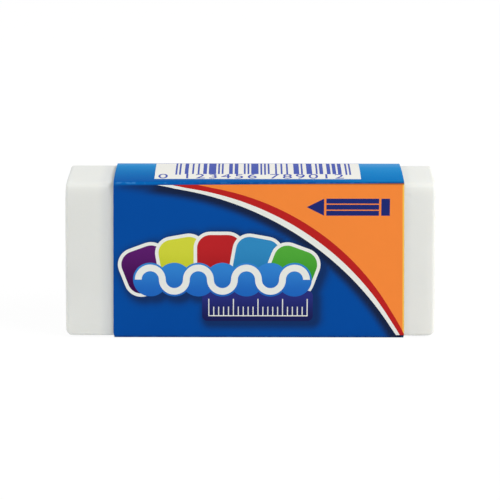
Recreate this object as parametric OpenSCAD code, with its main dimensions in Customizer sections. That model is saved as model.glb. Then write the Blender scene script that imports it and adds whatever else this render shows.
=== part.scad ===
// Plastic eraser in a printed card sleeve, standing on its long narrow side.
// X runs along the block, the printed face looks along -Y, and Z is up.
// The origin is under the middle of the whole, on the surface it stands on.

/* [Block] */
// Length of the vinyl block
block_l = 60; // [50:0.5:75]
// Thickness of the block, front to back
block_t = 12.5; // [10:0.5:18]
// Height of the block as it stands
block_h = 25.4; // [20:0.1:34]
// Radius of the moulded edges and corners
block_edge_r = 0.9; // [0.4:0.1:2]

/* [Sleeve] */
// Length of the sleeve along the block
sleeve_l = 47; // [40:0.5:49]
// How far the sleeve sits to the right of the block's middle
sleeve_shift = 1.3; // [-2:0.1:2]
// Thickness of the card
card_t = 0.2; // [0.18:0.01:0.4]
// Gap between the card and the block, on each side
slip = 0.05; // [0.03:0.01:0.2]
// Outside radius of the folds
fold_r = 0.6; // [0.5:0.05:1]
// Rise of the bowed top panel at its middle
crown_rise = 0.28; // [0.1:0.01:0.6]
// Height of the glue flap inside the back panel
flap_h = 8; // [4:0.5:14]
// Height of the back panel's cut edge above the surface
seam_h = 0.9; // [0.8:0.1:2]

/* [Print] */
// Thickness of a printed field
ink_t = 0.04; // [0.02:0.01:0.1]

/* [Bar code] */
// Width of the narrowest bar
bar_w = 0.3; // [0.26:0.01:0.33]
// White panel to the left of the bars
code_head = 3.1; // [2:0.1:4]
// White panel to the right of the bars
code_tail = 1.7; // [1:0.1:3]
// Distance from the front fold to the white panel
code_edge = 1.6; // [1:0.1:2.5]
// Distance from the white panel's edge to the bars
code_foot = 2.7; // [2.4:0.1:4]
// How far the guard bars reach towards the edge
guard_drop = 0.4; // [0.2:0.05:1]

/* [Hidden] */
$fn = 64;

// The card's outside: front and back panels, fold centres and the bowed top.
wrap_t = block_t + 2 * slip + 3 * card_t;
front_y = (ink_t - wrap_t) / 2;
back_y = front_y + wrap_t;
mid_y = (front_y + back_y) / 2;
block_z = card_t + slip;
fold_z = block_z + block_h + slip + card_t - fold_r;
fold_reach = wrap_t / 2 - fold_r;
crown_arm = (fold_reach * fold_reach + crown_rise * crown_rise) / (2 * crown_rise);
crown_r = crown_arm + fold_r;
crown_z = fold_z - crown_arm + crown_rise;
overlap = 1;

// The artwork on the front is drawn for a block 25.4 high in a sleeve 47 long. It grows
// with the block's height and stretches with the sleeve.
art = block_h / 25.4;
art_l = 47 * art;

// Stripes: the arc that ends the blue field, its centre left of the sleeve's middle and
// below the surface, the step to the next arc's centre, its slope in degrees, the white
// and the red band's widths at their widest, and the dark band's even width.
sweep_r = 50.9 * art;
sweep_left = 21.4 * art;
sweep_down = 25.5 * art;
sweep_step = 5.6 * art;
sweep_dir = 54;
white_w = art;
red_w = 1.3 * art;
dark_w = 1.25 * art;

// Tiles: side, corner radius and pale rim, the radius of the fan that they stand in, the
// angle between two of them, the fan's place left of the middle, and the middle tile's height.
tile_w = 7.2 * art;
tile_r = 2.2 * art;
rim_w = 0.55 * art;
fan_r = 34 * art;
fan_step = 10.2;
fan_left = 6.4 * art;
tile_z = 13.6 * art;

// Banner: its place left of the middle, its height, the radius of a lobe, the step
// between two lobes, and the width of the white wave.
banner_left = 5.9 * art;
banner_z = 9.8 * art;
lobe_r = 2.8 * art;
lobe_step = 3.9 * art;
wave_w = 1.1 * art;

// Dark plate under the banner, and the plain rule on it.
plate_l = 18 * art;
plate_h = 5.1 * art;
plate_x = -0.2 * art;
plate_r = 0.9 * art;
plate_z = 2.9 * art;
mark_step = 0.8 * art;
mark_w = 0.16 * art;

// Pencil in the orange corner: length, width, gap to the right edge and lower edge's height.
pencil_l = 13.4 * art;
pencil_w = 2.8 * art;
pencil_edge = 2.4 * art;
pencil_z = 20.4 * art;

// The colours in print, from the tiles' left to their right.
TILE_COLOURS = ["purple", "yellow", "red", "sky", "green"];
LOBES = 7;

// Runs of bar and gap for the plain sample number 0 123456 789012.
DIGIT_RUNS = [[3, 2, 1, 1], [2, 2, 2, 1], [2, 1, 2, 2], [1, 4, 1, 1], [1, 1, 3, 2],
              [1, 2, 3, 1], [1, 1, 1, 4], [1, 3, 1, 2], [1, 2, 1, 3], [3, 1, 1, 2]];
runs = [1, 1, 1, for (d = [1:6]) each DIGIT_RUNS[d],
        1, 1, 1, 1, 1, for (d = [7:12]) each DIGIT_RUNS[d % 10], 1, 1, 1];
GUARDS = [0, 2, 28, 30, 56, 58];
function run_start(n) = n == 0 ? 0 : runs[n - 1] + run_start(n - 1);
code_l = code_head + run_start(len(runs)) * bar_w + code_tail;

function is_any(n, list) = len([for (v = list) if (v == n) v]) > 0;

// Block: a moulded box with the same radius on every edge and corner.

module rounded_rectangle(w, h, r) {
    square([w, h - 2 * r], center = true);
    square([w - 2 * r, h], center = true);
    for (a = [-1, 1], b = [-1, 1])
        translate([a * (w / 2 - r), b * (h / 2 - r)]) circle(r);
}

// Three prisms, each with four of the twelve edges, and a ball at each corner.
module eraser_block() {
    r = block_edge_r;
    color([0.93, 0.93, 0.92])
    translate([0, front_y + card_t + slip + block_t / 2, block_z + block_h / 2]) {
        rotate([90, 0, 90]) linear_extrude(block_l - 2 * r, center = true)
            rounded_rectangle(block_t, block_h, r);
        rotate([90, 0, 0]) linear_extrude(block_t - 2 * r, center = true)
            rounded_rectangle(block_l, block_h, r);
        linear_extrude(block_h - 2 * r, center = true)
            rounded_rectangle(block_l, block_t, r);
        for (a = [-1, 1], b = [-1, 1], c = [-1, 1])
            translate([a * (block_l / 2 - r), b * (block_t / 2 - r), c * (block_h / 2 - r)])
                sphere(r);
    }
}

// Sleeve: one strip of card, folded round the block and glued to itself.

// Front, top and back panels down to the height low, drawn in from the outside by inset.
module upper_wrap(inset, low) {
    crown_half = fold_reach * (crown_r - inset) / crown_arm;
    translate([front_y + inset, low]) square([wrap_t - 2 * inset, fold_z - low]);
    for (side = [-1, 1])
        translate([mid_y + side * fold_reach, fold_z]) circle(fold_r - inset);
    intersection() {
        translate([mid_y, crown_z]) circle(crown_r - inset, $fn = 720);
        translate([mid_y - crown_half, fold_z]) square([2 * crown_half, fold_r + crown_rise]);
    }
}

// Front and bottom panels and the glue flap, which lies one card inside the back panel.
module lower_wrap(inset, top) {
    flap_y = back_y - card_t;
    translate([front_y + inset, fold_r]) square([flap_y - front_y - 2 * inset, top - fold_r]);
    translate([front_y + fold_r, inset])
        square([flap_y - front_y - 2 * fold_r, 2 * fold_r - inset]);
    for (y = [front_y + fold_r, flap_y - fold_r])
        translate([y, fold_r]) circle(fold_r - inset);
}

module along_sleeve() {
    translate([sleeve_shift - sleeve_l / 2, 0, 0]) rotate([90, 0, 90])
        linear_extrude(sleeve_l) children();
}

module card_sleeve() {
    color([0.04, 0.29, 0.60])
    along_sleeve() {
        difference() {
            upper_wrap(0, seam_h);
            upper_wrap(card_t, seam_h - overlap);
        }
        difference() {
            lower_wrap(0, flap_h);
            lower_wrap(card_t, flap_h + overlap);
        }
    }
}

// Print: each colour is a thin field on the card, drawn from the sleeve's middle.

module on_front() {
    translate([sleeve_shift, front_y, 0]) rotate([90, 0, 0]) linear_extrude(ink_t)
        intersection() {
            translate([-sleeve_l / 2, fold_r]) square([sleeve_l, fold_z - fold_r]);
            scale([sleeve_l / art_l, 1]) children();
        }
}

module on_crown() {
    intersection() {
        along_sleeve() difference() {
            translate([mid_y, crown_z]) circle(crown_r + ink_t, $fn = 720);
            translate([mid_y, crown_z]) circle(crown_r, $fn = 720);
        }
        translate([sleeve_shift, front_y, fold_z]) linear_extrude(fold_r + crown_rise + overlap)
            children();
    }
}

// The three arcs nest: the blue field inside the first, then the white and the red
// stripe, and orange past the last. Each centre lies a step further along.
SWEEP_WIDTHS = [0, white_w, white_w + red_w];

module sweep_disc(n, shrink = 0) {
    translate([n * sweep_step * cos(sweep_dir) - sweep_left,
               n * sweep_step * sin(sweep_dir) - sweep_down])
        circle(sweep_r - n * sweep_step + SWEEP_WIDTHS[n] - shrink, $fn = 360);
}

module tile(i, grow = 0) {
    translate([-fan_left, tile_z - fan_r]) rotate(fan_step * (2 - i)) translate([0, fan_r])
        rounded_rectangle(tile_w + 2 * grow, tile_w + 2 * grow, tile_r + grow);
}

function lobe_x(n) = (n - (LOBES - 1) / 2) * lobe_step - banner_left;

module banner() {
    for (n = [0:LOBES - 1])
        translate([lobe_x(n), banner_z]) circle(lobe_r);
}

// Half rings, turned up and down by turns, make one wave.
module wave() {
    bend_r = lobe_step / 2;
    for (n = [0:LOBES - 1])
        translate([lobe_x(n), banner_z]) rotate(n % 2 == 0 ? 0 : 180) {
            difference() {
                circle(bend_r + wave_w / 2);
                circle(bend_r - wave_w / 2);
                translate([-lobe_step, -lobe_step]) square([2 * lobe_step, lobe_step]);
            }
        }
}

module plate() {
    translate([plate_x, plate_z + plate_h / 2]) rounded_rectangle(plate_l, plate_h, plate_r);
}

// A plain rule: a base line with a tall mark at every fifth place, clear of the banner.
module rule_marks() {
    rule_l = plate_l - 2 * mark_step;
    count = floor(rule_l / mark_step);
    foot_z = plate_z + mark_step;
    tall = banner_z - lobe_r - mark_step / 2 - foot_z;
    left = plate_x - count * mark_step / 2;
    translate([left, foot_z]) square([count * mark_step + mark_w, mark_w]);
    for (n = [0:count])
        translate([left + n * mark_step, foot_z])
            square([mark_w, tall * (n % 5 == 0 ? 1 : 0.55)]);
}

// Everything that is printed over the tiles.
module over_tiles() {
    banner();
    plate();
}

// Everything that is printed over the stripes.
module over_stripes() {
    for (i = [0:len(TILE_COLOURS) - 1]) tile(i, rim_w);
    over_tiles();
    pencil();
}

module tile_field(i) {
    difference() {
        tile(i);
        for (j = [i + 1:1:len(TILE_COLOURS) - 1]) tile(j, rim_w);
        over_tiles();
    }
}

module tiles_of(colour) {
    for (i = [0:len(TILE_COLOURS) - 1])
        if (TILE_COLOURS[i] == colour) tile_field(i);
}

// A plain pencil, point to the left, with two lines along its barrel.
module pencil() {
    point_l = pencil_w;
    cap_l = pencil_w / 2;
    line_w = pencil_w / 16;
    barrel_w = (pencil_w - 2 * line_w) / 3;
    translate([art_l / 2 - pencil_edge - pencil_l, pencil_z]) {
        polygon([[0, pencil_w / 2], [point_l, 0], [point_l, pencil_w]]);
        for (n = [0:2])
            translate([point_l + 2 * line_w, n * (barrel_w + line_w)])
                square([pencil_l - point_l - cap_l - 4 * line_w, barrel_w]);
        translate([pencil_l - cap_l, 0]) square([cap_l, pencil_w]);
    }
}

module code_panel() {
    translate([-code_l / 2, code_edge])
        square([code_l, wrap_t - fold_r - code_edge]);
}

module bars() {
    for (n = [0:2:len(runs) - 1]) {
        foot = code_edge + code_foot - (is_any(n, GUARDS) ? guard_drop : 0);
        translate([code_head - code_l / 2 + run_start(n) * bar_w, foot])
            square([runs[n] * bar_w, wrap_t - fold_r - foot]);
    }
}

module white_print() {
    color([0.93, 0.93, 0.89]) {
        on_front() {
            difference() {
                sweep_disc(1);
                sweep_disc(0);
                over_stripes();
            }
            difference() {
                for (i = [0:len(TILE_COLOURS) - 1]) tile(i, rim_w);
                for (i = [0:len(TILE_COLOURS) - 1]) tile_field(i);
                over_tiles();
            }
            wave();
            rule_marks();
        }
        on_crown() difference() {
            code_panel();
            bars();
        }
    }
}

module orange_print() {
    color([0.95, 0.53, 0.24])
    on_front() difference() {
        translate([-art_l, 0]) square([2 * art_l, 2 * block_h]);
        sweep_disc(0);
        sweep_disc(1);
        sweep_disc(2);
        over_stripes();
    }
}

module red_print() {
    color([0.71, 0.14, 0.14])
    on_front() {
        difference() {
            sweep_disc(2);
            sweep_disc(1);
            sweep_disc(0);
            over_stripes();
        }
        tiles_of("red");
    }
}

module navy_print() {
    color([0.11, 0.16, 0.40]) {
        on_front() {
            difference() {
                sweep_disc(0);
                sweep_disc(0, dark_w);
                over_stripes();
            }
            difference() {
                plate();
                banner();
                rule_marks();
            }
            pencil();
        }
        on_crown() bars();
    }
}

module sky_print() {
    color([0.14, 0.45, 0.78])
    on_front() {
        difference() {
            banner();
            wave();
        }
        tiles_of("sky");
    }
}

module green_print() {
    color([0.29, 0.65, 0.20]) on_front() tiles_of("green");
}

module yellow_print() {
    color([0.77, 0.80, 0.20]) on_front() tiles_of("yellow");
}

module purple_print() {
    color([0.28, 0.08, 0.32]) on_front() tiles_of("purple");
}

eraser_block();
card_sleeve();
white_print();
orange_print();
red_print();
navy_print();
sky_print();
green_print();
yellow_print();
purple_print();
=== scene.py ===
# A white vinyl eraser block in a printed card sleeve, standing on its long narrow side.
# X runs along the block, the printed face looks along -Y and Z is up, as in the frame.
# Every size is in millimetres; a mesh is turned into the frame's metres as it is made.
import bisect
import math

import bpy
import numpy as np
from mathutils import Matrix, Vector, noise
from mathutils.geometry import delaunay_2d_cdt


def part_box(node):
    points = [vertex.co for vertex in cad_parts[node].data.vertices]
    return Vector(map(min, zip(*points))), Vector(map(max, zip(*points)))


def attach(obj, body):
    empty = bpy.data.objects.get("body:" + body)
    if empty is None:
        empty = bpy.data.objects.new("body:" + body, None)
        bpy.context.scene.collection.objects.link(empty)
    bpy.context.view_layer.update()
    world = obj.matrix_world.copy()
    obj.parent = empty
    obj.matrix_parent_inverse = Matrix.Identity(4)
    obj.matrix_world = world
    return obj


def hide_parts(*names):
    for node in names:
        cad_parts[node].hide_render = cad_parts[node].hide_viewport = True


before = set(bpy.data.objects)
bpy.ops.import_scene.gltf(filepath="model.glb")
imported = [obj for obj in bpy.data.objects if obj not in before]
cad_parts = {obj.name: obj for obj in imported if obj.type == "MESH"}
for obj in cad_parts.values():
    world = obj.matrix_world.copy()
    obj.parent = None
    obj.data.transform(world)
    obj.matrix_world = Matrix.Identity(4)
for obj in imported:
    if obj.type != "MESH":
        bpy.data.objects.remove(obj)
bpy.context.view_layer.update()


# The eraser block: one piece of white vinyl, pressed in a mould that rounds every edge
# and corner. It is soft, so its faces are a little uneven, and the ends that stick out of
# the sleeve carry a few small dents and a little wear.

BLOCK_LOW, BLOCK_HIGH = (corner * 1000 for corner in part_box("eraser_block"))
BLOCK_EDGE_R = 0.5

# The mesh is fine over this much of each end of each axis, and coarse between.
BLOCK_FINE_ENDS = (8, 2, 2)
FINE, COARSE = 0.22, 0.45

# The faces sink in slow swells and fine ripples: how deep, and how many to the millimetre.
SWELLS = [(0.025, 0.16), (0.008, 0.9)]

# The broad faces fall away softly towards their edges: how far at the left, right, bottom
# and top edge, how quickly that fades inwards, and how deep under the face it is felt. The
# top falls so towards its front edge, and is a little higher at the back.
FACE_FALLS = (0.06, 0.2, 0.1, 0.44)
FALL_REACH = 0.72
FALL_DEPTH = 1.5
TOP_FALL = 0.34
TOP_FALL_REACH = 0.8
TOP_FALL_DEPTH = 3
TOP_RISE = 0.05

# The left end is worn in along its top edge, from this far at the front to this far at the
# back. The block's ends both lie a little to the left of their nominal place, and they
# lean in towards the top by the mould's draft. Their lower edges are rounder than the rest.
END_WEAR = (0.14, 0.36)
END_WEAR_REACH = (3, 1.6)
ENDS_LEFT = 0.06
DRAFT = 0.14
FOOT_R = 1.2
FOOT_REACH = 2
sleeve_ends = [corner.x * 1000 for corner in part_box("card_sleeve")]

# Nicks on the printed side: place along the block, height, width, height, and depth. A
# negative depth stands out.
BLOCK_NICKS = [
    (-24.25, 5.43, 0.32, 0.35, -0.035),
    (-24.45, 4.33, 0.32, 0.35, -0.035),
    (-25.3, 2.35, 0.8, 0.35, -0.045),
    (-27.0, 14.2, 0.7, 0.6, 0.03),
    (-24.6, 17.4, 0.5, 0.5, 0.03),
    (25.5, 23.6, 0.5, 0.5, 0.04),
    (26.4, 22.8, 0.5, 0.4, 0.04),
    (27.6, 9.0, 0.6, 0.7, 0.03),
]


def stations(breaks, pitches):
    """Places along a line, spaced by each stretch's own pitch."""
    found = [breaks[0]]
    for low, high, pitch in zip(breaks, breaks[1:], pitches):
        count = max(1, math.ceil((high - low) / pitch))
        found += [low + (high - low) * (k + 1) / count for k in range(count)]
    return found


def moulded_box(low, high, edge_r, fine_ends):
    """Points, outward normals and faces of a box with every edge and corner rounded. Its
    grid is fine over the given stretch at each end of each axis."""
    middle, half = (low + high) / 2, (high - low) / 2
    lines = []
    for h, fine in zip(half, fine_ends):
        flat = h - edge_r
        bend = [flat + edge_r * math.tan(math.radians(a)) for a in (9, 18, 27, 36, 45)]
        level = stations((-flat, fine - flat, flat - fine, flat), (FINE, COARSE, FINE))
        lines.append([-b for b in reversed(bend)] + level + bend)
    points, normals, faces, known = [], [], [], {}

    def corner(place):
        key = tuple(round(v, 5) for v in place)
        if key not in known:
            core = Vector([max(edge_r - h, min(h - edge_r, v)) for v, h in zip(place, half)])
            out = (place - core).normalized()
            known[key] = len(points)
            points.append(middle + core + out * edge_r)
            normals.append(out)
        return known[key]

    for axis in range(3):
        across, along = (axis + 1) % 3, (axis + 2) % 3
        for side in (-1, 1):
            grid = []
            for a in lines[across]:
                row = []
                for b in lines[along]:
                    place = Vector((0, 0, 0))
                    place[axis], place[across], place[along] = side * half[axis], a, b
                    row.append(corner(place))
                grid.append(row)
            for i in range(len(grid) - 1):
                for j in range(len(grid[0]) - 1):
                    face = [grid[i][j], grid[i + 1][j], grid[i + 1][j + 1], grid[i][j + 1]]
                    faces.append(face if side > 0 else face[::-1])
    return points, normals, faces


def round_inset(radius, height):
    """How far in a rounded edge lies at a height above the face that it rounds off to."""
    low = max(0, radius - height)
    return radius - math.sqrt(radius ** 2 - low ** 2)


def rounder_foot(end_away, height):
    """How much further in an end's lower edge lies than the block's other edges."""
    inset = round_inset(FOOT_R, height) - round_inset(BLOCK_EDGE_R, height)
    return inset * max(0, 1 - max(0, end_away - BLOCK_EDGE_R) / FOOT_REACH)


def worn_vinyl(point, normal):
    """The point moved inwards by the block's unevenness, soft edges, nicks and wear."""
    depth = sum(deep * (0.5 + 0.5 * noise.noise(point * waves)) for deep, waves in SWELLS)
    if normal.y < -0.5:
        for x, z, wide, high, deep in BLOCK_NICKS:
            away = ((point.x - x) / wide) ** 2 + ((point.z - z) / high) ** 2
            depth += deep * math.exp(-away)
    edges = (point.x - BLOCK_LOW.x, BLOCK_HIGH.x - point.x,
             point.z - BLOCK_LOW.z, BLOCK_HIGH.z - point.z)
    fall = sum(deep * math.exp(-away / FALL_REACH) for deep, away in zip(FACE_FALLS, edges))
    middle, half = (BLOCK_LOW.y + BLOCK_HIGH.y) / 2, (BLOCK_HIGH.y - BLOCK_LOW.y) / 2
    outer = max(0, (abs(point.y - middle) - half) / FALL_DEPTH + 1)
    back = (point.y - BLOCK_LOW.y) / (2 * half)
    lowered = TOP_FALL * math.exp(-back * 2 * half / TOP_FALL_REACH) - TOP_RISE * back
    lowered *= max(0, 1 - edges[3] / TOP_FALL_DEPTH)
    pressed = END_WEAR[0] + (END_WEAR[1] - END_WEAR[0]) * back
    pressed *= max(0, 1 - edges[0] / END_WEAR_REACH[0]) * math.exp(-edges[3] / END_WEAR_REACH[1])
    lean = DRAFT * (edges[2] - edges[3]) / (edges[2] + edges[3])
    lean *= (edges[0] - edges[1]) / (edges[0] + edges[1])
    foot = rounder_foot(edges[1], edges[2]) - rounder_foot(edges[0], edges[2])
    leftward = ENDS_LEFT - pressed + lean + foot
    moved = (leftward, math.copysign(fall * outer, point.y - middle), lowered)
    return point - normal * depth - Vector(moved)


# The photo shows the part a little taller for its length than its solids are, by this.
TALLER = 1.0145


def make_piece(name, points, faces, materials, face_materials=(), sharp=35):
    """A mesh object from points in millimetres. Edges bent by more than sharp stay crisp."""
    mesh = bpy.data.meshes.new(name)
    mesh.from_pydata([(p.x / 1000, p.y / 1000, p.z / 1000 * TALLER) for p in points], [], faces)
    for material in materials:
        mesh.materials.append(material)
    if face_materials:
        mesh.polygons.foreach_set("material_index", face_materials)
    mesh.shade_smooth()
    mesh.set_sharp_from_angle(angle=math.radians(sharp))
    mesh.validate()
    piece = bpy.data.objects.new(name, mesh)
    bpy.context.scene.collection.objects.link(piece)
    return piece


def add_node(tree, kind, inputs=(), **settings):
    """A shader node. An input given as a socket is linked, and any other is set."""
    made = tree.nodes.new(kind)
    for key, value in settings.items():
        setattr(made, key, value)
    for key, value in dict(inputs).items():
        if isinstance(value, bpy.types.NodeSocket):
            tree.links.new(value, made.inputs[key])
        else:
            made.inputs[key].default_value = value
    return made


def new_material(name):
    """An empty material with a Principled shader wired to its output."""
    material = bpy.data.materials.new(name)
    material.use_nodes = True
    tree = material.node_tree
    tree.nodes.clear()
    shader = add_node(tree, "ShaderNodeBsdfPrincipled")
    add_node(tree, "ShaderNodeOutputMaterial", {"Surface": shader.outputs[0]})
    return material, tree, shader


def mixed(tree, share, low, high):
    """The colour socket of a blend from low to high by share."""
    made = tree.nodes.new("ShaderNodeMix")
    made.data_type = "RGBA"
    for socket, value in zip((made.inputs[0], made.inputs[6], made.inputs[7]), (share, low, high)):
        if isinstance(value, bpy.types.NodeSocket):
            tree.links.new(value, socket)
        else:
            socket.default_value = value
    return made.outputs[2]


def tint(red, green, blue):
    """A colour as it is mixed on a screen, 0 to 255, turned into linear light."""
    shares = (c / 255 for c in (red, green, blue))
    return (*(s / 12.92 if s < 0.04045 else ((s + 0.055) / 1.055) ** 2.4 for s in shares), 1)


def white_vinyl():
    """Soft white vinyl: satin and faintly mottled, with light that spreads under the skin,
    and a band of painted shade beside each end of the sleeve, where the card's edges shade it."""
    material, tree, shader = new_material("white_vinyl")
    place = add_node(tree, "ShaderNodeTexCoord").outputs["Object"]
    cloud = add_node(tree, "ShaderNodeTexNoise", {"Vector": place, "Scale": 140, "Detail": 3})
    grain = add_node(tree, "ShaderNodeTexNoise", {"Vector": place, "Scale": 2600, "Detail": 2})
    body = mixed(tree, cloud.outputs["Fac"], tint(222, 223, 219), tint(229, 230, 226))
    run = add_node(tree, "ShaderNodeMapRange", {
        "Value": add_node(tree, "ShaderNodeSeparateXYZ", {"Vector": place}).outputs["X"],
        "From Min": BLOCK_LOW.x / 1000, "From Max": BLOCK_HIGH.x / 1000,
    })
    sleeve_edge_shade = add_node(tree, "ShaderNodeValToRGB", {"Fac": run.outputs[0]})
    sleeve_edge_shade.color_ramp.interpolation = "EASE"
    sleeve_edge_shade.color_ramp.elements.remove(sleeve_edge_shade.color_ramp.elements[1])
    sleeve_edge_shade.color_ramp.elements[0].color = (0, 0, 0, 1)
    # Painted shade: the vinyl greys beside each end of the sleeve, as if the card's edge shaded
    # it. The band moves with the block.
    left, right = sleeve_ends
    for x, grey in ((left - 2.7, 0), (left - 0.9, 1), (left + 0.5, 1), (left + 2, 0),
                    (right - 1.5, 0), (right, 0.9), (right + 1.4, 0)):
        at = (x - BLOCK_LOW.x) / (BLOCK_HIGH.x - BLOCK_LOW.x)
        sleeve_edge_shade.color_ramp.elements.new(at).color = (grey, grey, grey, 1)
    body = mixed(tree, sleeve_edge_shade.outputs[0], body, tint(215, 217, 216))
    tree.links.new(body, shader.inputs["Base Color"])
    satin = add_node(tree, "ShaderNodeMapRange", {
        "Value": grain.outputs["Fac"], "To Min": 0.42, "To Max": 0.58,
    })
    tree.links.new(satin.outputs[0], shader.inputs["Roughness"])
    skin = add_node(tree, "ShaderNodeBump", {
        "Height": grain.outputs["Fac"], "Strength": 0.5, "Distance": 0.000012,
    })
    tree.links.new(skin.outputs[0], shader.inputs["Normal"])
    shader.inputs["Specular IOR Level"].default_value = 0.35
    shader.inputs["Subsurface Weight"].default_value = 0.25
    shader.inputs["Subsurface Scale"].default_value = 0.0012
    shader.inputs["Subsurface Radius"].default_value = (1.0, 0.9, 0.75)
    return material


points, normals, faces = moulded_box(BLOCK_LOW, BLOCK_HIGH, BLOCK_EDGE_R, BLOCK_FINE_ENDS)
points = [worn_vinyl(p, n) for p, n in zip(points, normals)]
vinyl_block = make_piece("vinyl_block", points, faces, [white_vinyl()])
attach(vinyl_block, "block")
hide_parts("eraser_block")


# The sleeve: one strip of thin white card, printed blue outside and left bare inside. It
# is creased at four folds round the block and glued at the back, where the flap lies
# inside the back panel. The top panel bows up between its folds.

CARD_LOW, CARD_HIGH = (corner * 1000 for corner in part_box("card_sleeve"))
CARD_T = 0.2
FOLD_R = 0.6
CROWN_RISE = 0.28
FLAP_H = 8
SEAM_H = 0.9
CORNER_WEAR = 0.24
CORNER_WEAR_REACH = 0.42
END_ZONE = 2

half_sleeve = (CARD_HIGH.x - CARD_LOW.x) / 2
sleeve_x = (CARD_HIGH.x + CARD_LOW.x) / 2
front_y, back_y = CARD_LOW.y, CARD_HIGH.y
mid_y = (front_y + back_y) / 2
flap_y = back_y - CARD_T
fold_z = CARD_HIGH.z - FOLD_R - CROWN_RISE
fold_reach = back_y - mid_y - FOLD_R
crown_arm = (fold_reach ** 2 + CROWN_RISE ** 2) / (2 * CROWN_RISE)
crown_z = fold_z - crown_arm + CROWN_RISE
crown_tilt = math.degrees(math.asin(fold_reach / crown_arm))


def flat_panel(y0, z0, y1, z1):
    """Length of a flat stretch of card, and what finds a point and its outward normal."""
    length = math.hypot(y1 - y0, z1 - z0)
    dy, dz = (y1 - y0) / length, (z1 - z0) / length
    return length, lambda at: (y0 + dy * at, z0 + dz * at, -dz, dy)


def bent_panel(y, z, radius, start, end):
    """The same for a stretch that is bent round (y, z) from one angle to another."""
    def find(at):
        angle = math.radians(start) - at / radius
        ny, nz = math.cos(angle), math.sin(angle)
        return y + radius * ny, z + radius * nz, ny, nz
    return radius * math.radians(start - end), find


card_line = [
    flat_panel(flap_y, FLAP_H, flap_y, FOLD_R),
    bent_panel(flap_y - FOLD_R, FOLD_R, FOLD_R, 0, -90),
    flat_panel(flap_y - FOLD_R, 0, front_y + FOLD_R, 0),
    bent_panel(front_y + FOLD_R, FOLD_R, FOLD_R, -90, -180),
    flat_panel(front_y, FOLD_R, front_y, fold_z),
    bent_panel(front_y + FOLD_R, fold_z, FOLD_R, 180, 90 + crown_tilt),
    bent_panel(mid_y, crown_z, crown_arm + FOLD_R, 90 + crown_tilt, 90 - crown_tilt),
    bent_panel(back_y - FOLD_R, fold_z, FOLD_R, 90 - crown_tilt, 0),
    flat_panel(back_y, fold_z, back_y, SEAM_H),
]
card_starts = [sum(length for length, _ in card_line[:n]) for n in range(len(card_line) + 1)]
FRONT, TOP_FOLD, TOP, BACK_FOLD = 4, 5, 6, 7
fold_middles = [(card_starts[n] + card_starts[n + 1]) / 2 for n in (1, 3, 5, 7)]

# How far short of its place each end is cut at each fold, and how much of the corner wear
# is there. The left end is the first of each pair.
CUT_SHORT = [(-0.1, -0.2, 0.1, 0.21), (-0.1, -0.23, 0.15, 0.28)]
CORNER_SHARES = [(0.8, 0.9, 0.1, 0.5), (0.8, 0.4, 0, 0.35)]
CUT_RAGGED = 0.02


def on_card(along, down, lift=0.0):
    """Point on the folded sleeve: along it from its middle, down the flat strip, and off it."""
    n = max(0, min(len(card_line) - 1, bisect.bisect_right(card_starts, down) - 1))
    y, z, ny, nz = card_line[n][1](down - card_starts[n])
    into_end = abs(along) - half_sleeve + END_ZONE
    if into_end > 0:
        side = 1 if along > 0 else 0
        worn = np.interp(down, [0, *fold_middles, card_starts[-1]], [0, *CUT_SHORT[side], 0])
        worn += sum(
            CORNER_WEAR * share * math.exp(-((down - middle) / CORNER_WEAR_REACH) ** 2)
            for middle, share in zip(fold_middles, CORNER_SHARES[side])
        )
        worn += CUT_RAGGED * noise.noise(Vector((math.copysign(7, along), down * 0.7, 0)))
        along -= (1 if side else -1) * worn * into_end / END_ZONE
    return Vector((sleeve_x + along, y + ny * lift, z + nz * lift))


def folded_card(rows, columns):
    """Points and faces of the card's solid: outside, inside, and the cut edges between."""
    points = [on_card(u, s) for s in rows for u in columns]
    points += [on_card(u, s, -CARD_T) for s in rows for u in columns]
    wide, tall = len(columns), len(rows)
    inner = wide * tall
    outside, bare = [], []
    for i in range(tall - 1):
        for j in range(wide - 1):
            a = i * wide + j
            outside.append([a, a + 1, a + 1 + wide, a + wide])
            bare.append([v + inner for v in (a, a + wide, a + 1 + wide, a + 1)])
    for j in range(wide - 1):
        a, b = j, (tall - 1) * wide + j
        bare.append([a, a + inner, a + 1 + inner, a + 1])
        bare.append([b, b + 1, b + 1 + inner, b + inner])
    for i in range(tall - 1):
        a, b = i * wide, i * wide + wide - 1
        bare.append([a, a + wide, a + wide + inner, a + inner])
        bare.append([b, b + inner, b + wide + inner, b + wide])
    return points, outside, bare


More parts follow.
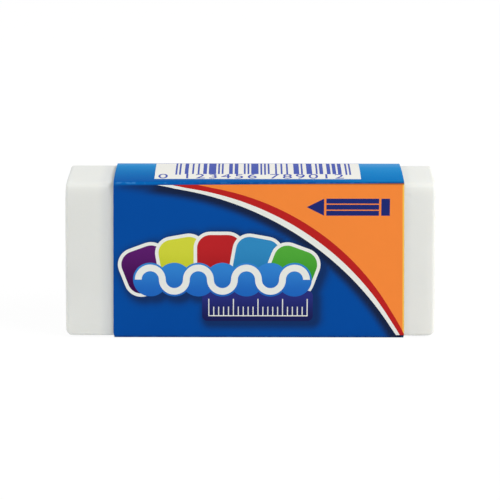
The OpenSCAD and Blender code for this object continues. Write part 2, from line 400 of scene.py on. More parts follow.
def printed_card_group():
    """What every printed colour shares: card grain under a varnish, and slight unevenness."""
    tree = bpy.data.node_groups.new("printed_card", "ShaderNodeTree")
    for name, kind in (("Ink", "NodeSocketColor"), ("Uneven", "NodeSocketFloat")):
        tree.interface.new_socket(name, in_out="INPUT", socket_type=kind)
    for name, kind in (
        ("Colour", "NodeSocketColor"), ("Roughness", "NodeSocketFloat"),
        ("Normal", "NodeSocketVector"),
    ):
        tree.interface.new_socket(name, in_out="OUTPUT", socket_type=kind)
    given = add_node(tree, "NodeGroupInput")
    place = add_node(tree, "ShaderNodeTexCoord").outputs["Object"]
    cloud = add_node(tree, "ShaderNodeTexNoise", {"Vector": place, "Scale": 90, "Detail": 4})
    fibre = add_node(tree, "ShaderNodeTexNoise", {"Vector": place, "Scale": 3200, "Detail": 3})
    swing = add_node(tree, "ShaderNodeMath", {0: cloud.outputs["Fac"], 1: 0.5},
                     operation="SUBTRACT")
    change = add_node(tree, "ShaderNodeMath",
                      {0: swing.outputs[0], 1: given.outputs["Uneven"], 2: 1.0},
                      operation="MULTIPLY_ADD")
    colour = add_node(tree, "ShaderNodeVectorMath",
                      {0: given.outputs["Ink"], 1: change.outputs[0]}, operation="MULTIPLY")
    varnish = add_node(tree, "ShaderNodeMapRange", {
        "Value": fibre.outputs["Fac"], "To Min": 0.30, "To Max": 0.44,
    })
    grain = add_node(tree, "ShaderNodeBump", {
        "Height": fibre.outputs["Fac"], "Strength": 0.35, "Distance": 0.000006,
    })
    add_node(tree, "NodeGroupOutput", {
        "Colour": colour.outputs[0], "Roughness": varnish.outputs[0], "Normal": grain.outputs[0],
    })
    return tree


printed_card = printed_card_group()


def ink_material(name, make_ink, uneven=0.08):
    """Print under varnish. make_ink gives the ink's colour, or the socket that mixes it."""
    material, tree, shader = new_material(name)
    card = tree.nodes.new("ShaderNodeGroup")
    card.node_tree = printed_card
    ink = make_ink(tree) if callable(make_ink) else make_ink
    if isinstance(ink, bpy.types.NodeSocket):
        tree.links.new(ink, card.inputs["Ink"])
    else:
        card.inputs["Ink"].default_value = ink
    card.inputs["Uneven"].default_value = uneven
    for output, socket in (
        ("Colour", "Base Color"), ("Roughness", "Roughness"), ("Normal", "Normal"),
    ):
        tree.links.new(card.outputs[output], shader.inputs[socket])
    shader.inputs["Specular IOR Level"].default_value = 0.0045
    return material


def blue_print(tree):
    """The blue field, with painted light across the top, darkened by its printed shades
    and by painted shade, and rubbed where the card says so.
    """
    def marked(name):
        return add_node(tree, "ShaderNodeAttribute", attribute_name=name).outputs["Fac"]

    # Painted light: the blue lightens across the top and towards its far edge, as the lamp above
    # falls on it.
    across = add_node(tree, "ShaderNodeValToRGB", {"Fac": marked("painted_top_light")})
    ramp = across.color_ramp
    ramp.elements[0].position, ramp.elements[0].color = 0.0, tint(9, 75, 157)
    ramp.elements[1].position, ramp.elements[1].color = 1.0, tint(71, 148, 206)
    ramp.elements.new(0.12).color = tint(10, 88, 165)
    ramp.elements.new(0.5).color = tint(4, 112, 182)
    ramp.elements.new(0.82).color = tint(12, 132, 198)
    # The printed shades and the painted shade darken the blue.
    shaded = mixed(tree, marked("soft_dark"), across.outputs[0], tint(26, 38, 68))
    place = add_node(tree, "ShaderNodeTexCoord").outputs["Object"]
    flakes = add_node(tree, "ShaderNodeTexNoise", {"Vector": place, "Scale": 900, "Detail": 2})
    rubbed = add_node(tree, "ShaderNodeMapRange", {
        "Value": flakes.outputs["Fac"], "From Min": 0.5, "From Max": 0.62,
    })
    wear = add_node(tree, "ShaderNodeMath", {0: rubbed.outputs[0], 1: marked("crease_wear")},
                    operation="MULTIPLY")
    return mixed(tree, wear.outputs[0], shaded, tint(70, 138, 200))


def bare_card():
    """Uncoated white card: matt, with short fibres, as it shows inside and at the cuts."""
    material, tree, shader = new_material("bare_card")
    place = add_node(tree, "ShaderNodeTexCoord").outputs["Object"]
    fibre = add_node(tree, "ShaderNodeTexNoise", {"Vector": place, "Scale": 2400, "Detail": 4})
    colour = mixed(tree, fibre.outputs["Fac"], tint(214, 210, 198), tint(240, 238, 230))
    tree.links.new(colour, shader.inputs["Base Color"])
    rough = add_node(tree, "ShaderNodeMapRange", {
        "Value": fibre.outputs["Fac"], "To Min": 0.75, "To Max": 0.95,
    })
    tree.links.new(rough.outputs[0], shader.inputs["Roughness"])
    felt = add_node(tree, "ShaderNodeBump", {
        "Height": fibre.outputs["Fac"], "Strength": 0.4, "Distance": 0.000015,
    })
    tree.links.new(felt.outputs[0], shader.inputs["Normal"])
    shader.inputs["Specular IOR Level"].default_value = 0.2
    return material


# The card's grid: one row pitch for each stretch of the strip, fine at the folds.
rows = stations(card_starts, (1, 0.11, 1, 0.11, 0.42, 0.11, 0.45, 0.11, 1))
columns = stations((-half_sleeve, 0.6 - half_sleeve, half_sleeve - 0.6, half_sleeve),
                   (0.2, 0.45, 0.2))
points, outside, bare = folded_card(rows, columns)
card_sleeve = make_piece(
    "printed_sleeve", points, outside + bare,
    [ink_material("blue_print", blue_print), bare_card()],
    [0] * len(outside) + [1] * len(bare),
)
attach(card_sleeve, "sleeve")
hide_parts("card_sleeve")


# The print on the front: flat fields of ink, each cut clear of those that lie over it, so
# they are laid here from the uppermost down. A field is a thin film that follows the card.

PRINT_FOOT = 0.56
FOLD_STRETCH = 0.36
FINE_CUTS = 0.5
INK_LIFT = 0.012
INK_SINK = 0.03

# The drawing's top edge, and where that edge lies on the card: it runs a little askew of
# the fold, and further over it at the right.
PRINT_TOP = ((-14, -9), (fold_z - 0.15, fold_z))
PRINT_LAP = ((-half_sleeve, half_sleeve), (fold_z, fold_z + 0.42))

# The whole print's outline, and the lines along which its films are cut so that they can
# follow the fold.
front_window = [(-half_sleeve, PRINT_FOOT), (half_sleeve, PRINT_FOOT), (half_sleeve, fold_z),
                (-9, fold_z), (-14, fold_z - 0.15), (-half_sleeve, fold_z - 0.15)]
front_cuts = [((-half_sleeve, z), (half_sleeve, z))
              for z in (FOLD_R, *stations((fold_z - FINE_CUTS, fold_z), (0.05,))[:-1])]
front_cuts += [((x, fold_z - FINE_CUTS), (x, fold_z))
               for x in stations((-half_sleeve, -14, -9, half_sleeve), (5, 5, 5.5))[1:-1]]
laid_fields = []


def on_front(x, z, lift):
    """A print's place on the front: along from the sleeve's middle, and height. Its topmost
    stretch is drawn out to reach the edge's place on the fold."""
    top = np.interp(x, *PRINT_TOP)
    drawn_out = max(0, (z - top) / FOLD_STRETCH + 1)
    z += drawn_out * (np.interp(x, *PRINT_LAP) - top)
    return on_card(x, card_starts[FRONT] + z - FOLD_R, lift)


def ring(x, z, radius, steps=72):
    """Outline of a disc."""
    turns = (2 * math.pi * k / steps for k in range(steps))
    return [(x + radius * math.cos(a), z + radius * math.sin(a)) for a in turns]


def slab(x, z, wide, high, corner_r=0.0, turn=0.0, steps=10):
    """Outline of a rectangle with rounded corners, turned about its middle."""
    outline = []
    for quarter, (a, b) in enumerate(((1, 1), (-1, 1), (-1, -1), (1, -1))):
        for k in range(steps + 1 if corner_r else 1):
            angle = math.radians(90 * (quarter + k / steps))
            px = a * (wide / 2 - corner_r) + corner_r * math.cos(angle)
            pz = b * (high / 2 - corner_r) + corner_r * math.sin(angle)
            outline.append((px, pz))
    c, s = math.cos(math.radians(turn)), math.sin(math.radians(turn))
    return [(x + c * px - s * pz, z + s * px + c * pz) for px, pz in outline]


def inside(outline, places):
    """Whether each place is inside the closed outline."""
    a = np.array(outline)
    b = np.roll(a, -1, 0)
    x, z = places[:, :1], places[:, 1:]
    crosses = (a[:, 1] > z) != (b[:, 1] > z)
    rise = np.where(a[:, 1] == b[:, 1], 1.0, b[:, 1] - a[:, 1])
    at = a[:, 0] + (z - a[:, 1]) * (b[:, 0] - a[:, 0]) / rise
    return (crosses & (x < at)).sum(1) % 2 == 1


def near(outline, others):
    """The outlines whose bounds meet the bounds of the given ones."""
    a = np.array([p for o in outline for p in o])
    low, high = a.min(0), a.max(0)
    return [o for o in others
            if (np.min(o, 0) < high).all() and (np.max(o, 0) > low).all()]


def cut_field(fields, window, clear, cuts):
    """Flat points and triangles of the fields in the window, clear of other outlines. They
    are cut along the given lines too, so that the film can follow a bend there."""
    clear = near(fields, clear)
    corners, edges = [], []
    for outline in [window, *fields, *clear]:
        first, count = len(corners), len(outline)
        corners += outline
        edges += [(first + k, first + (k + 1) % count) for k in range(count)]
    for line in cuts:
        edges.append((len(corners), len(corners) + 1))
        corners += line
    corners, _, faces, *_ = delaunay_2d_cdt([Vector(c) for c in corners], edges, [], 0, 1e-5)
    flat = np.array([(c.x, c.y) for c in corners])
    faces = np.array(faces)
    middles = flat[faces].mean(1)
    kept = inside(window, middles)
    kept &= np.any([inside(o, middles) for o in fields], 0)
    for outline in clear:
        kept &= ~inside(outline, middles)
    return flat, faces[kept]


def ink_film(flat, faces, place, lift=INK_LIFT):
    """The solid film over flat triangles: its face, its underside in the card, its rim."""
    used = sorted({int(v) for face in faces for v in face})
    number = {v: n for n, v in enumerate(used)}
    points = [place(*flat[v], lift) for v in used]
    points += [place(*flat[v], -INK_SINK) for v in used]
    upper = [[number[int(v)] for v in face] for face in faces]
    lower = [[v + len(used) for v in reversed(face)] for face in upper]
    sides = {(f[k], f[(k + 1) % len(f)]) for f in upper for k in range(len(f))}
    rim = [[b, a, a + len(used), b + len(used)] for a, b in sides if (b, a) not in sides]
    return points, upper + lower + rim


def lay_ink(name, fields, ink, node,
            window=front_window, place=on_front, cuts=front_cuts):
    """Prints the fields in one ink, and keeps what is laid later clear of them."""
    points, faces = ink_film(*cut_field(fields, window, laid_fields, cuts), place)
    film = make_piece(name, points, faces, [ink])
    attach(film, "sleeve")
    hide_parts(node)
    laid_fields.extend(fields)
    return film


white_ink = ink_material("white_print", tint(230, 232, 226), 0.03)


# The banner across the motif: seven light blue lobes in a row, with a plain white wave
# from end to end. It lies over the tiles, so it is laid first.

LOBES = 7
LOBE_R = 2.8
LOBE_STEP = 3.9
BANNER_X = -5.9
BANNER_Z = 9.8
WAVE_W = 1.1

lobe_xs = [BANNER_X + (n - (LOBES - 1) / 2) * LOBE_STEP for n in range(LOBES)]


def wave_outline(steps=20):
    """A band of half rings, turned up and down by turns: its upper side, then its lower."""
    upper, lower = [], []
    for n, x in enumerate(lobe_xs):
        way = 1 if n % 2 == 0 else -1
        for side, radius in ((upper, LOBE_STEP + way * WAVE_W), (lower, LOBE_STEP - way * WAVE_W)):
            for k in range(0 if n == 0 else 1, steps + 1):
                angle = math.pi * (1 - k / steps)
                side.append((x + radius / 2 * math.cos(angle),
                             BANNER_Z + way * radius / 2 * math.sin(angle)))
    return upper + lower[::-1]


def faded(light, dark, low_z, high_z):
    """An ink that is light at the height high_z and dark at low_z."""
    def make_ink(tree):
        place = add_node(tree, "ShaderNodeTexCoord").outputs["Object"]
        height = add_node(tree, "ShaderNodeSeparateXYZ", {"Vector": place}).outputs["Z"]
        share = add_node(tree, "ShaderNodeMapRange", {
            "Value": height,
            "From Min": low_z / 1000 * TALLER, "From Max": high_z / 1000 * TALLER,
        }, interpolation_type="SMOOTHSTEP")
        return mixed(tree, share.outputs[0], dark, light)
    return make_ink


sky_fade = faded(tint(52, 130, 206), tint(34, 100, 186), BANNER_Z - LOBE_R, BANNER_Z + LOBE_R)
lay_ink("banner_wave", [wave_outline()], white_ink, "white_print")
lay_ink("banner", [ring(x, BANNER_Z, LOBE_R) for x in lobe_xs],
        ink_material("banner_blue", sky_fade), "sky_print")


# The dark plate under the banner, with a plain rule on it: a base line and a tall mark at
# every fifth place.

PLATE_L = 18
PLATE_H = 5.1
PLATE_X = -0.2
PLATE_Z = 2.9
PLATE_R = 0.9
MARK_STEP = 0.8
MARK_W = 0.16
SHORT_MARK = 0.55

plate_outline = slab(PLATE_X, PLATE_Z + PLATE_H / 2, PLATE_L, PLATE_H, PLATE_R)


def rule_outlines():
    """The base line and the marks that stand on it."""
    count = int((PLATE_L - 2 * MARK_STEP) / MARK_STEP)
    foot = PLATE_Z + MARK_STEP
    tall = BANNER_Z - LOBE_R - MARK_STEP / 2 - foot
    left = PLATE_X - count * MARK_STEP / 2
    length = count * MARK_STEP + MARK_W
    lines = [slab(left + length / 2, foot + MARK_W / 2, length, MARK_W)]
    for n in range(count + 1):
        high = tall if n % 5 == 0 else SHORT_MARK * tall
        lines.append(slab(left + n * MARK_STEP + MARK_W / 2, foot + high / 2, MARK_W, high))
    return lines


navy_fade = faded(tint(44, 50, 124), tint(30, 34, 84), PLATE_Z, PLATE_Z + PLATE_H)
lay_ink("rule_marks", rule_outlines(), white_ink, "white_print")
lay_ink("rule_plate", [plate_outline], ink_material("plate_navy", navy_fade),
        "navy_print")


# The fan of five rounded tiles behind the banner. Each has a pale rim and laps over the
# one to its left, so the right-hand tile is laid first.

TILE_W = 7.2
TILE_R = 2.2
RIM_W = 0.55
FAN_R = 34
FAN_STEP = 10.2
FAN_X = -6.4
TILE_Z = 13.6

# Each tile's node and slot, with its ink at the top and at the foot, from left to right.
TILE_INKS = [
    ("purple", tint(92, 32, 106), tint(60, 16, 74)),
    ("yellow", tint(206, 210, 62), tint(178, 188, 34)),
    ("red", tint(184, 38, 42), tint(148, 24, 32)),
    ("sky", tint(50, 136, 190), tint(28, 108, 166)),
    ("green", tint(82, 168, 60), tint(50, 142, 40)),
]


def tile_outline(n, grow=0.0):
    """The outline of the tile at place n in the fan, grown by the rim if that is asked."""
    turn = math.radians(FAN_STEP * (2 - n))
    x, z = FAN_X - FAN_R * math.sin(turn), TILE_Z - FAN_R + FAN_R * math.cos(turn)
    side = TILE_W + 2 * grow
    return slab(x, z, side, side, TILE_R + grow, math.degrees(turn))


for n, (colour, light, dark) in reversed(list(enumerate(TILE_INKS))):
    fade = faded(light, dark, TILE_Z - TILE_W * 0.8, TILE_Z + TILE_W * 0.3)
    ink = ink_material(f"tile_{colour}", fade)
    lay_ink(f"tile_{colour}", [tile_outline(n)], ink, f"{colour}_print")
    lay_ink(f"tile_{colour}_rim", [tile_outline(n, RIM_W)], white_ink,
            "white_print")


# The pencil in the orange corner: a plain figure in dark blue ink, its point to the left.
# The orange shows between its point, the three faces of its barrel and its cap.

PENCIL_L = 13.4
PENCIL_W = 2.8
PENCIL_EDGE = 2.4
PENCIL_Z = 20.4


def pencil_outlines():
    """Its point, the three faces of its barrel, and its cap."""
    line, cap = PENCIL_W / 16, PENCIL_W / 2
    face = (PENCIL_W - 2 * line) / 3
    left = half_sleeve - PENCIL_EDGE - PENCIL_L
    barrel = left + PENCIL_W + 2 * line
    barrel_l = PENCIL_L - PENCIL_W - cap - 4 * line
    parts = [[(left, PENCIL_Z + PENCIL_W / 2), (left + PENCIL_W, PENCIL_Z),
              (left + PENCIL_W, PENCIL_Z + PENCIL_W)]]
    for n in range(3):
        parts.append(slab(barrel + barrel_l / 2, PENCIL_Z + n * (face + line) + face / 2,
                          barrel_l, face))
    parts.append(slab(left + PENCIL_L - cap / 2, PENCIL_Z + PENCIL_W / 2, cap, PENCIL_W))
    return parts


lay_ink("pencil", pencil_outlines(), ink_material("pencil_navy", tint(33, 44, 112)),
        "navy_print")


# The swept stripes: the blue field ends in a long arc, with a white and a red stripe along
# it and the orange corner beyond. Each arc is smaller than the last and lies further on.
# The widths are the stripes' reach past the first arc where they are widest.

SWEEP_R = 50.9
SWEEP_X = -21.4
SWEEP_Z = -25.5
SWEEP_STEP = 5.6
SWEEP_DIR = 54
SWEEP_WIDTHS = [0, 1.0, 2.3]

# Along the card's right edge only the orange's yellow printed: how far in from the card's
# nominal end that is at the foot and at the top, and how softly it ends. The orange darkens
# between two heights over the fold, by its lap on the blue and by painted shade there.
YELLOW_REACH = (0.01, 0.39)
YELLOW_TOP = 25
YELLOW_SOFT = 0.06
LAP_DARKENS = (0.04, 0.34)


def sweep(n):
    """The outline of the arc's disc: 0 ends the blue, 1 the white and 2 the red."""
    step = math.radians(SWEEP_DIR)
    return ring(SWEEP_X + n * SWEEP_STEP * math.cos(step),
                SWEEP_Z + n * SWEEP_STEP * math.sin(step),
                SWEEP_R - n * SWEEP_STEP + SWEEP_WIDTHS[n], 420)


def orange_print(tree):
    """Orange, with the strip along the card's right edge where only its yellow printed. It
    is darker where it runs over the fold: its lap on the blue, and painted shade there."""
    place = add_node(tree, "ShaderNodeTexCoord").outputs["Object"]
    split = add_node(tree, "ShaderNodeSeparateXYZ", {"Vector": place})
    reach = add_node(tree, "ShaderNodeMapRange", {
        "Value": split.outputs["Z"], "From Min": 0.0, "From Max": YELLOW_TOP / 1000,
        "To Min": YELLOW_REACH[0] / 1000, "To Max": YELLOW_REACH[1] / 1000,
    })
    past = add_node(tree, "ShaderNodeMath", {0: split.outputs["X"], 1: reach.outputs[0]},
                    operation="ADD")
    edge = add_node(tree, "ShaderNodeMapRange", {
        "Value": past.outputs[0], "From Min": (CARD_HIGH.x - YELLOW_SOFT) / 1000,
        "From Max": (CARD_HIGH.x + YELLOW_SOFT) / 1000,
    })
    # The overprint on the blue together with painted shade: the orange darkens over the fold.
    lap = add_node(tree, "ShaderNodeMapRange", {
        "Value": split.outputs["Z"], "From Min": (fold_z + LAP_DARKENS[0]) / 1000 * TALLER,
        "From Max": (fold_z + LAP_DARKENS[1]) / 1000 * TALLER,
    })
    flat = mixed(tree, edge.outputs[0], tint(243, 136, 60), tint(248, 196, 84))
    return mixed(tree, lap.outputs[0], flat, tint(128, 74, 44))


laid_fields.append(sweep(0))
lay_ink("white_stripe", [sweep(1)], white_ink, "white_print")
lay_ink("red_stripe", [sweep(2)], ink_material("stripe_red", tint(184, 36, 36)),
        "red_print")
lay_ink("orange_corner", [front_window], ink_material("orange_print", orange_print, 0.05),
        "orange_print")


# The blue field's soft tones. The print darkens it towards the white stripe, under the top
# fold and round the motif. Painted shade darkens it at the bottom fold and in a thin line
# along the top crease, and painted light makes it lighter across the top, with thin painted
# highlights along the top fold. The card is also rubbed pale in flecks along its folds.

ARC_SHADE = (0.6, 1.95)
# Painted shade on the bottom fold, which faces down.
FOOT_PAINTED_SHADE = 0.4
MOTIF_SHADE = 0.74
MOTIF_REACH = 0.95
MOTIF_DROP = (0.62, -0.45)

# The shade under the top fold, and its reach, at the left end and near the white stripe.
FOLD_SHADE = (0.45, 0.77)
FOLD_REACH = (0.6, 0.96)

# Painted light on the top: how much lighter it is at its four edges and folds, at the left
# and at the right, as the lamp above falls on it, and on the fold above the print's edge.
PAINTED_TOP_LIGHT_LEFT = (0, 0.12, 1, 0)
PAINTED_TOP_LIGHT_RIGHT = (0, 0.5, 1, 0)
FOLD_PAINTED_LIGHT = 0.12

# How much each fold is rubbed, how far that reaches, and how much more at the left end.
RUBBED = (0.3, 0.35, 0.25, 0.3)
RUB_REACH = 0.17
RUB_MORE = 1.1


def from_slab(x, z, wide, high, corner_r, turn, px, pz):
    """Distance from a turned, rounded rectangle to the places (px, pz); negative inside."""
    c, s = math.cos(math.radians(turn)), math.sin(math.radians(turn))
    a = np.abs(c * (px - x) + s * (pz - z)) - wide / 2 + corner_r
    b = np.abs(c * (pz - z) - s * (px - x)) - high / 2 + corner_r
    outside = np.hypot(np.maximum(a, 0), np.maximum(b, 0))
    return outside + np.minimum(np.maximum(a, b), 0) - corner_r


def bell(away, reach):
    """1 where away is 0 or less, falling softly to nothing beyond reach."""
    return np.exp(-(np.maximum(away, 0) / reach) ** 2)


def rise(value, low, high):
    """0 below low, 1 above high, with a soft slope between."""
    share = np.clip((value - low) / (high - low), 0, 1)
    return share * share * (3 - 2 * share)


along, down = np.meshgrid(columns, rows)
along, down = along.ravel(), down.ravel()
run = down - card_starts[FRONT] + FOLD_R
top, lap = np.interp(along, *PRINT_TOP), np.interp(along, *PRINT_LAP)
drawn_out = 1 + (lap - top) / FOLD_STRETCH
start = top - FOLD_STRETCH
height = np.minimum(np.where(run < start, run, start + (run - start) / drawn_out), top)
on_the_front = rise(run, -0.5, 0) * (1 - rise(run, lap - 0.05, lap + 0.1))


def fold_line(share, past, wide):
    """A thin line along the top fold, a little way past the edge of the front's print."""
    return share * np.exp(-((run - lap - past) / wide) ** 2)


arc = SWEEP_R - np.hypot(along - SWEEP_X, height - SWEEP_Z)
soft_dark = (1 - rise(arc, *ARC_SHADE)) * rise(along, -21.3, -15.5)
nearer = rise(along, -23, -17.5)
under_fold = FOLD_SHADE[0] + (FOLD_SHADE[1] - FOLD_SHADE[0]) * nearer
under_fold *= bell(top - height, FOLD_REACH[0] + (FOLD_REACH[1] - FOLD_REACH[0]) * nearer)
soft_dark = np.maximum(soft_dark, under_fold * rise(along, -24.5, -21.5) * (arc > 0))
# Painted shade at the bottom fold.
soft_dark = np.maximum(soft_dark, FOOT_PAINTED_SHADE * (1 - rise(run, 0.05, 0.6)))
px, pz = along - MOTIF_DROP[0], height - MOTIF_DROP[1]
motif = from_slab(PLATE_X, PLATE_Z + PLATE_H / 2, PLATE_L, PLATE_H, PLATE_R, 0, px, pz)
for n in range(len(TILE_INKS)):
    turn = math.radians(FAN_STEP * (2 - n))
    motif = np.minimum(motif, from_slab(
        FAN_X - FAN_R * math.sin(turn), TILE_Z - FAN_R + FAN_R * math.cos(turn),
        TILE_W + 2 * RIM_W, TILE_W + 2 * RIM_W, TILE_R + RIM_W, math.degrees(turn), px, pz))
for x in lobe_xs:
    motif = np.minimum(motif, np.hypot(px - x, pz - BANNER_Z) - LOBE_R)
soft_dark = np.maximum(soft_dark, MOTIF_SHADE * bell(motif, MOTIF_REACH)) * on_the_front
# Painted shade: a thin dark line along the top crease on the right, above the orange's edge.
soft_dark = np.maximum(soft_dark, fold_line(0.38, 0.2, 0.24) * rise(along, -12, -8))

# Painted light across the top, more on the right, where the lamp is.
top_edges = card_starts[TOP_FOLD:BACK_FOLD + 2]
across = np.interp(down, top_edges, PAINTED_TOP_LIGHT_LEFT)
lit = np.interp(down, top_edges, PAINTED_TOP_LIGHT_RIGHT)
across = across + (lit - across) * rise(along, 2, 20)
# Painted highlights: thin light lines along the top fold, at the right and at the left.
across = across + fold_line(0.25, 0.55, 0.12) * rise(along, 12, 16)
across = across + fold_line(0.3, 0.35, 0.11) * rise(along, -22.9, -21.7) * rise(-along, 13.5, 16)
across = np.maximum(across, FOLD_PAINTED_LIGHT * (down < card_starts[BACK_FOLD]))
across = across * rise(run, lap - 0.06, lap + 0.06)

rub = sum(
    share * np.exp(-((down - middle) / RUB_REACH) ** 2)
    for middle, share in zip(fold_middles, RUBBED)
)
rub = rub * (1 + RUB_MORE * rise(-along, 13, 16) * (np.abs(down - fold_middles[2]) < 1))
rub = rub + 0.5 * bell(half_sleeve - np.abs(along), 0.12) * rise(rub, 0.0, 0.3)

spare = np.zeros(len(along))
for name, values in (("soft_dark", soft_dark), ("painted_top_light", across), ("crease_wear", rub)):
    marks = card_sleeve.data.attributes.new(name, "FLOAT", "POINT")
    marks.data.foreach_set("value", np.concatenate([values, spare]).astype(np.float32))


# The bar code panel on the top: a white field with a plain sample code in violet blue,
# which counts up from nought and names nothing. It runs to the back fold.

BAR_W = 0.3
CODE_X = -0.2
CODE_HEAD = 3.3
CODE_TAIL = 1.5
CODE_EDGE = 1.6
CODE_FOOT = 2.7
GUARD_DROP = 0.4
DIGIT_FOOT = 1.9
DIGIT_H = 2.5
DIGIT_SHARE = 0.73  # a digit's height as a share of its letter size
FAR_LINE_W = 0.22
SAMPLE_NUMBER = "0123456789012"

# Widths of bar and gap for each digit; the right half starts with a bar, the left a gap.
DIGIT_RUNS = ["3211", "2221", "2122", "1411", "1132", "1231", "1114", "1312", "1213", "3112"]
code_runs = [int(c) for c in "111" + "".join(DIGIT_RUNS[d] for d in range(1, 7)) + "11111"
             + "".join(DIGIT_RUNS[d % 10] for d in range(7, 13)) + "111"]
GUARDS = (0, 2, 28, 30, 56, 58)
code_l = CODE_HEAD + sum(code_runs) * BAR_W + CODE_TAIL
code_left = CODE_X - code_l / 2 + CODE_HEAD
code_far = back_y - front_y - FOLD_R
panel_ends = CODE_X - code_l / 2, CODE_X + code_l / 2
top_window = slab(CODE_X, (CODE_EDGE + code_far) / 2, code_l, code_far - CODE_EDGE)
top_cuts = [[(x, back) for x in panel_ends]
            for back in stations((CODE_EDGE, code_far), (0.6,))[1:-1]]


def on_top(x, back, lift):
    """A print's place on the top: along, and straight back from the front panel."""
    angle = math.acos((front_y + back - mid_y) / (crown_arm + FOLD_R))
    turned = math.radians(90 + crown_tilt) - angle
    return on_card(x, card_starts[TOP] + turned * (crown_arm + FOLD_R), lift)


def bar_outlines():
    """Every second run is a bar, from its foot to the back fold; the guards reach lower."""
    bars, at = [], code_left
    for n, run in enumerate(code_runs):
        if n % 2 == 0:
            foot = CODE_EDGE + CODE_FOOT - (GUARD_DROP if n in GUARDS else 0)
            bars.append([(at, foot), (at + run * BAR_W, foot),
                         (at + run * BAR_W, code_far), (at, code_far)])
        at += run * BAR_W
    return bars


def digit_film():
    """The sample number's digits, one in front of the bars and the others under theirs. A
    cell is a digit's middle, counted in bar widths from the first bar."""
    points, faces = [], []
    for n, digit in enumerate(SAMPLE_NUMBER):
        cell = -6.5 if n == 0 else 3 + 7 * (n - 0.5) + (5 if n > 6 else 0)
        curve = bpy.data.curves.new("digit", "FONT")
        curve.body, curve.size, curve.align_x = digit, DIGIT_H / DIGIT_SHARE, "CENTER"
        holder = bpy.data.objects.new("digit", curve)
        bpy.context.scene.collection.objects.link(holder)
        drawn = holder.evaluated_get(bpy.context.evaluated_depsgraph_get()).to_mesh()
        first = len(points)
        points += [(code_left + cell * BAR_W + v.co.x, DIGIT_FOOT + v.co.y)
                   for v in drawn.vertices]
        faces += [[first + v for v in face.vertices] for face in drawn.polygons]
        bpy.data.objects.remove(holder)
        bpy.data.curves.remove(curve)
    return ink_film(points, faces, on_top, 2 * INK_LIFT)


violet_ink = ink_material("bar_violet", tint(72, 88, 170), 0.1)
far_line = slab(CODE_X, code_far - FAR_LINE_W / 2, code_l, FAR_LINE_W)
laid_fields.clear()
lay_ink("code_bars", bar_outlines() + [far_line], violet_ink, "navy_print",
        top_window, on_top, top_cuts)
lay_ink("code_panel", [top_window], ink_material("panel_white", tint(232, 231, 225), 0.03),
        "white_print", top_window, on_top, top_cuts)
code_digits = make_piece("code_digits", *digit_film(), [violet_ink])
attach(code_digits, "sleeve")
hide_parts("navy_print")


# The studio: a pale floor that keeps a faint shadow, soft light all round, and one large
# lamp high on the right that brightens the top and the block's right end, with a weak one
# low on the left. The camera looks down on the printed side from a little above.

FLOOR_HALF = 900
FLOOR_DROP = 0.03
FLOOR_PLAIN = 0.93
CAMERA_PLACE = Vector((-0.29, -422.3, 129.58))
CAMERA_PITCH = 15.417
CAMERA_ROLL = -0.08
CAMERA_LENS = 191.94


def seen_share(tree):
    """1 for what the camera sees, straight or in metal or glass, and 0 for light on the part."""
    path = add_node(tree, "ShaderNodeLightPath")
    seen = add_node(tree, "ShaderNodeMath", {
        0: path.outputs["Is Camera Ray"], 1: path.outputs["Is Glossy Ray"],
    }, operation="MAXIMUM")
    through = add_node(tree, "ShaderNodeMath", {
        0: seen.outputs[0], 1: path.outputs["Is Transmission Ray"],
    }, operation="MAXIMUM")
    return through.outputs[0]


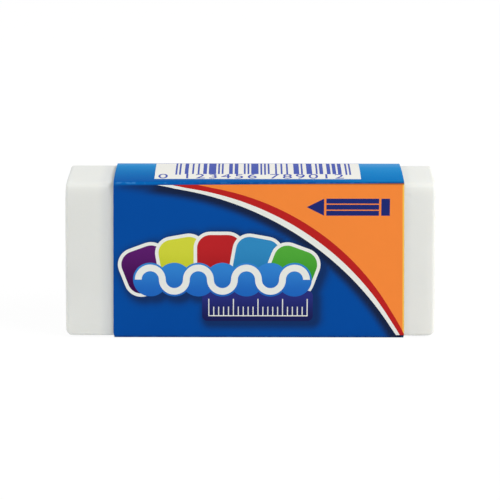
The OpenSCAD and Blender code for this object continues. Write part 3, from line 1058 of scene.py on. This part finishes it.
def studio_white():
    """Diffuse white that is seen mostly as the plain background, and keeps the shadow."""
    material = bpy.data.materials.new("studio_white")
    material.use_nodes = True
    tree = material.node_tree
    tree.nodes.clear()
    share = add_node(tree, "ShaderNodeMath", {0: seen_share(tree), 1: FLOOR_PLAIN},
                     operation="MULTIPLY")
    paint = add_node(tree, "ShaderNodeBsdfDiffuse", {"Color": tint(240, 240, 240)})
    glow = add_node(tree, "ShaderNodeEmission", {"Color": (1, 1, 1, 1), "Strength": 1.02})
    both = add_node(tree, "ShaderNodeMixShader", {
        0: share.outputs[0], 1: paint.outputs[0], 2: glow.outputs[0],
    })
    add_node(tree, "ShaderNodeOutputMaterial", {"Surface": both.outputs[0]})
    return material


floor = make_piece("studio_floor", [
    Vector((a * FLOOR_HALF, b * FLOOR_HALF, -FLOOR_DROP))
    for a, b in ((-1, -1), (1, -1), (1, 1), (-1, 1))
], [[0, 1, 2, 3]], [studio_white()])

world = bpy.data.worlds.new("studio_light")
world.use_nodes = True
world.node_tree.nodes.clear()
soft = add_node(world.node_tree, "ShaderNodeBackground",
                {"Color": (0.97, 0.985, 1, 1), "Strength": 0.515})
plain = add_node(world.node_tree, "ShaderNodeBackground",
                 {"Color": (1, 1, 1, 1), "Strength": 1})
sky = add_node(world.node_tree, "ShaderNodeMixShader", {
    0: seen_share(world.node_tree), 1: soft.outputs[0], 2: plain.outputs[0],
})
add_node(world.node_tree, "ShaderNodeOutputWorld", {"Surface": sky.outputs[0]})
bpy.context.scene.world = world


def soft_lamp(name, place, aim, wide, power, colour):
    """A square soft box at place, turned to aim, in millimetres and watts."""
    lamp = bpy.data.lights.new(name, "AREA")
    lamp.shape, lamp.size, lamp.energy, lamp.color = "SQUARE", wide / 1000, power, colour
    holder = bpy.data.objects.new(name, lamp)
    holder.location = Vector(place) / 1000
    holder.rotation_euler = (Vector(place) - Vector(aim)).to_track_quat("Z", "Y").to_euler()
    bpy.context.scene.collection.objects.link(holder)


soft_lamp("key_right", (700, -310, 680), (0, 0, 12), 560, 8.7, (1, 0.99, 0.96))
soft_lamp("fill_left", (-700, 0, 90), (0, 0, 12), 400, 1.9, (1, 1, 1))

camera_data = bpy.data.cameras.new("photo_camera")
camera_data.sensor_width, camera_data.lens = 36, CAMERA_LENS
camera_data.clip_start, camera_data.clip_end = 0.01, 10
camera = bpy.data.objects.new("photo_camera", camera_data)
camera.location = CAMERA_PLACE / 1000
camera.rotation_euler = [math.radians(a) for a in (90 - CAMERA_PITCH, CAMERA_ROLL, 0)]
bpy.context.scene.collection.objects.link(camera)
bpy.context.scene.camera = camera
bpy.context.scene.view_settings.view_transform = "Standard"
